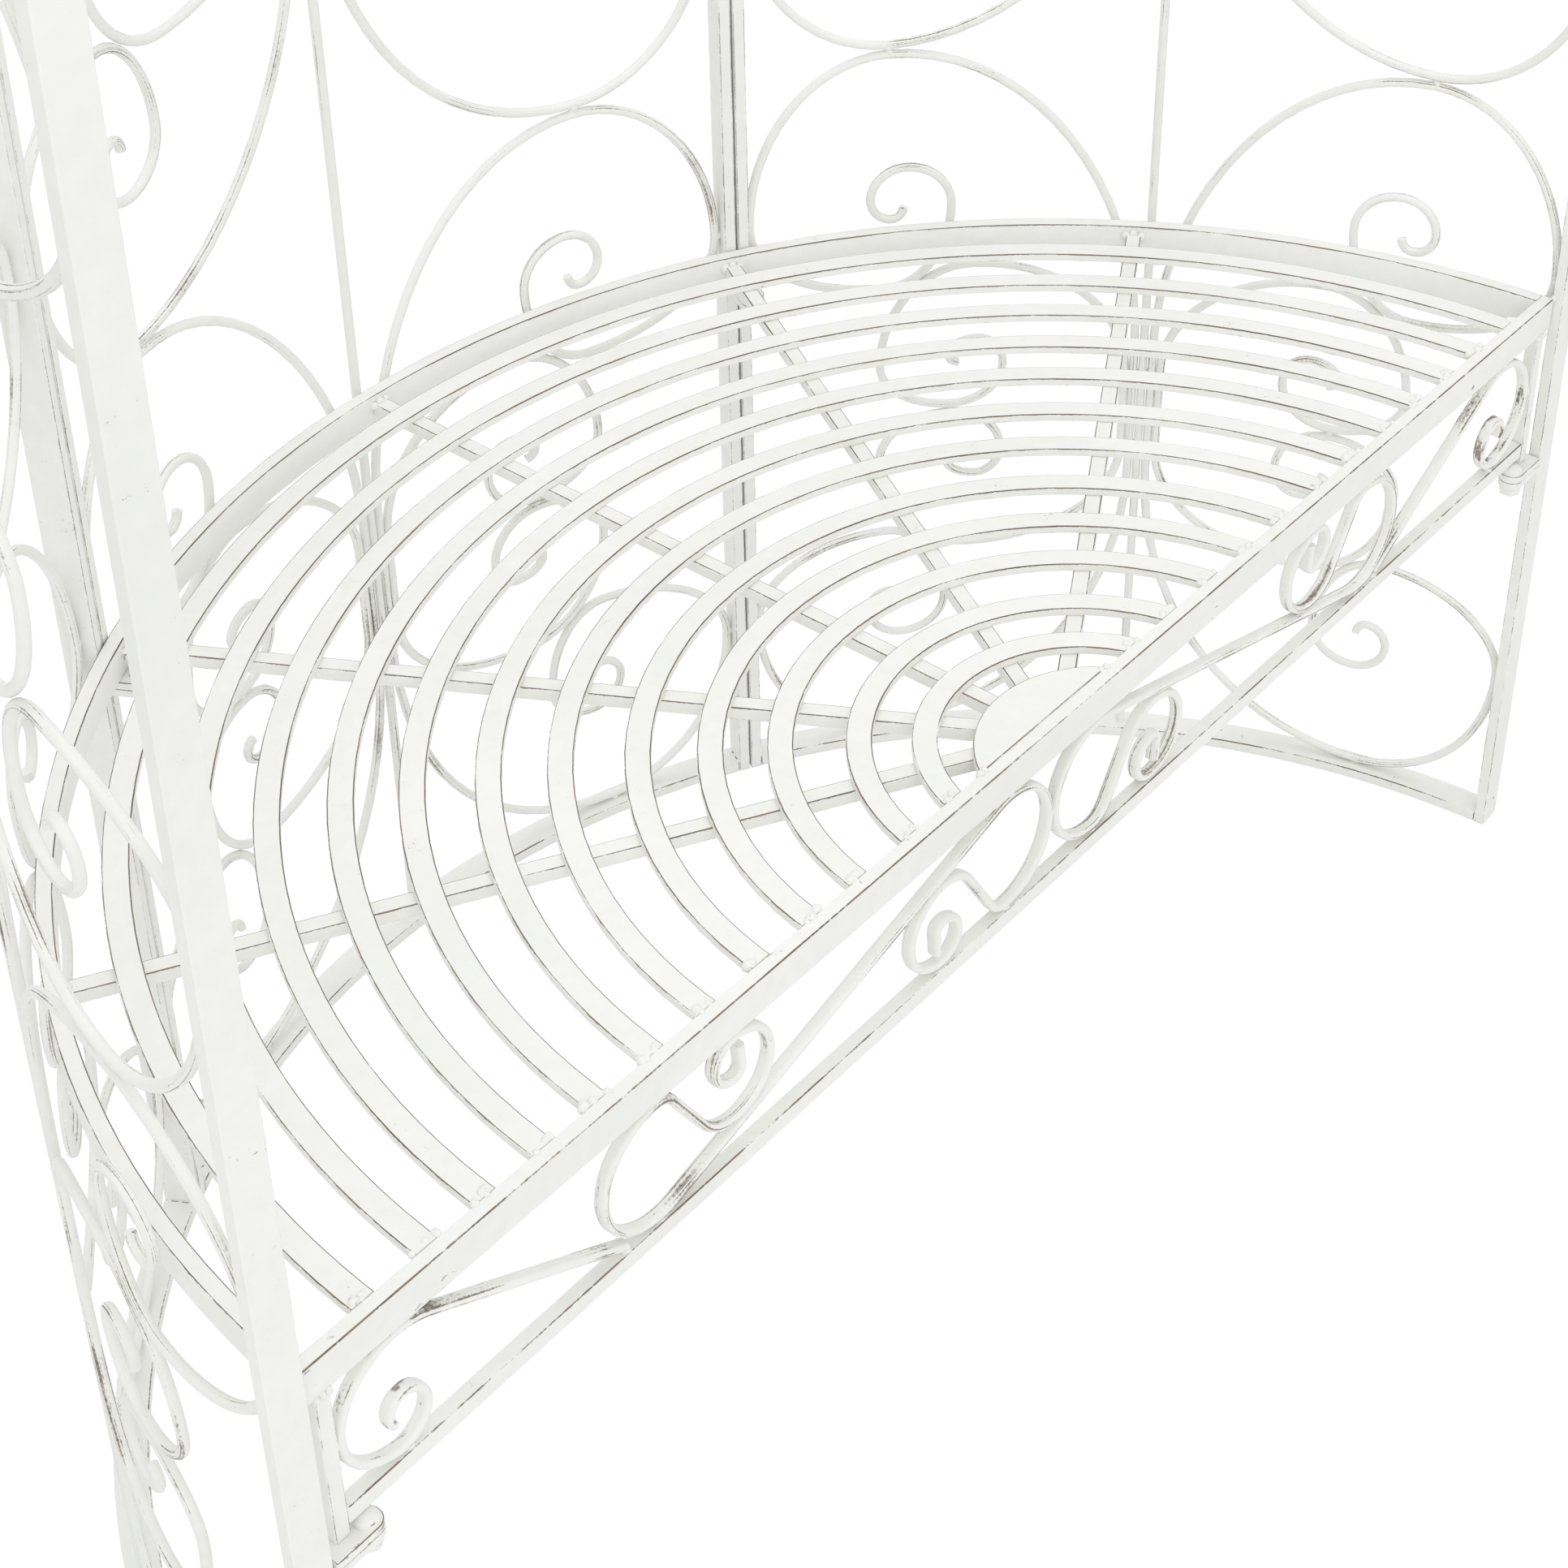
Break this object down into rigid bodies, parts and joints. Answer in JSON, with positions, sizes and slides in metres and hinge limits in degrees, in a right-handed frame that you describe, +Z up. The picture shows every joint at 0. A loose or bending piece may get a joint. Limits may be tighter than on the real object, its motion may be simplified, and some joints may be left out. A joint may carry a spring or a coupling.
{
  "type": "half-round gazebo with bench",
  "caption": "Half-round garden gazebo of white painted iron: scrollwork wall panels round a built-in slatted half-round bench, with an arched front and ribbed half dome.",
  "frame": {"origin": "centre of the overall box at floor level", "axes": "+Z up, the open front faces -Y, the wall's back is at +Y, +X to the right of someone facing the bench"},
  "size_m": [1.139, 0.548, 2.4523],
  "materials": {
    "frame_paint": "white paint rubbed through along the edges",
    "scroll_paint": "white paint brushed thin on the rods, dark streaks showing",
    "seat_paint": "white paint worn to dark metal along the slat edges",
    "apron_paint": "white paint with heavy dark rubbing along the scroll bars",
    "roof_paint": "white paint rubbed through along the edges",
    "fastener_paint": "white paint over the bolt heads and nuts, dark in the corners"
  },
  "bodies": {
    "root": {"apron_bottom_rail": "apron_paint", "apron_top_rail": "apron_paint", "apron_uprights": "apron_paint", "back_bottom_rail": "frame_paint", "back_centre_rod": "scroll_paint", "back_eaves_rail": "frame_paint", "back_large_scrolls": "scroll_paint", "back_left_stile": "frame_paint", "back_middle_rib": "roof_paint", "back_right_stile": "frame_paint", "back_small_scrolls": "scroll_paint", "back_waist_rail": "frame_paint", "bench_lugs": "apron_paint", "finial": "roof_paint", "front_arch": "roof_paint", "left_bottom_rail": "frame_paint", "left_centre_rod": "scroll_paint", "left_double_scroll": "apron_paint", "left_eaves_rail": "frame_paint", "left_end_scroll": "apron_paint", "left_front_post": "frame_paint", "left_large_scrolls": "scroll_paint", "left_middle_rib": "roof_paint", "left_post_rib": "roof_paint", "left_rear_stile": "frame_paint", "left_small_scrolls": "scroll_paint", "left_waist_rail": "frame_paint", "lug_bolts": "fastener_paint", "lug_nuts": "fastener_paint", "post_lugs": "apron_paint", "right_bottom_rail": "frame_paint", "right_centre_rod": "scroll_paint", "right_double_scroll": "apron_paint", "right_eaves_rail": "frame_paint", "right_end_scroll": "apron_paint", "right_front_post": "frame_paint", "right_large_scrolls": "scroll_paint", "right_middle_rib": "roof_paint", "right_post_rib": "roof_paint", "right_rear_stile": "frame_paint", "right_small_scrolls": "scroll_paint", "right_waist_rail": "frame_paint", "roof_collar": "roof_paint", "seam_bolts": "fastener_paint", "seam_nuts": "fastener_paint", "seat_hub_plate": "seat_paint", "seat_rim": "seat_paint", "seat_slat_01": "seat_paint", "seat_slat_02": "seat_paint", "seat_slat_03": "seat_paint", "seat_slat_04": "seat_paint", "seat_slat_05": "seat_paint", "seat_slat_06": "seat_paint", "seat_slat_07": "seat_paint", "seat_slat_08": "seat_paint", "seat_slat_09": "seat_paint", "seat_slat_10": "seat_paint", "seat_slat_11": "seat_paint", "seat_slat_12": "seat_paint", "seat_spokes": "seat_paint"}
  },
  "joints": []
}
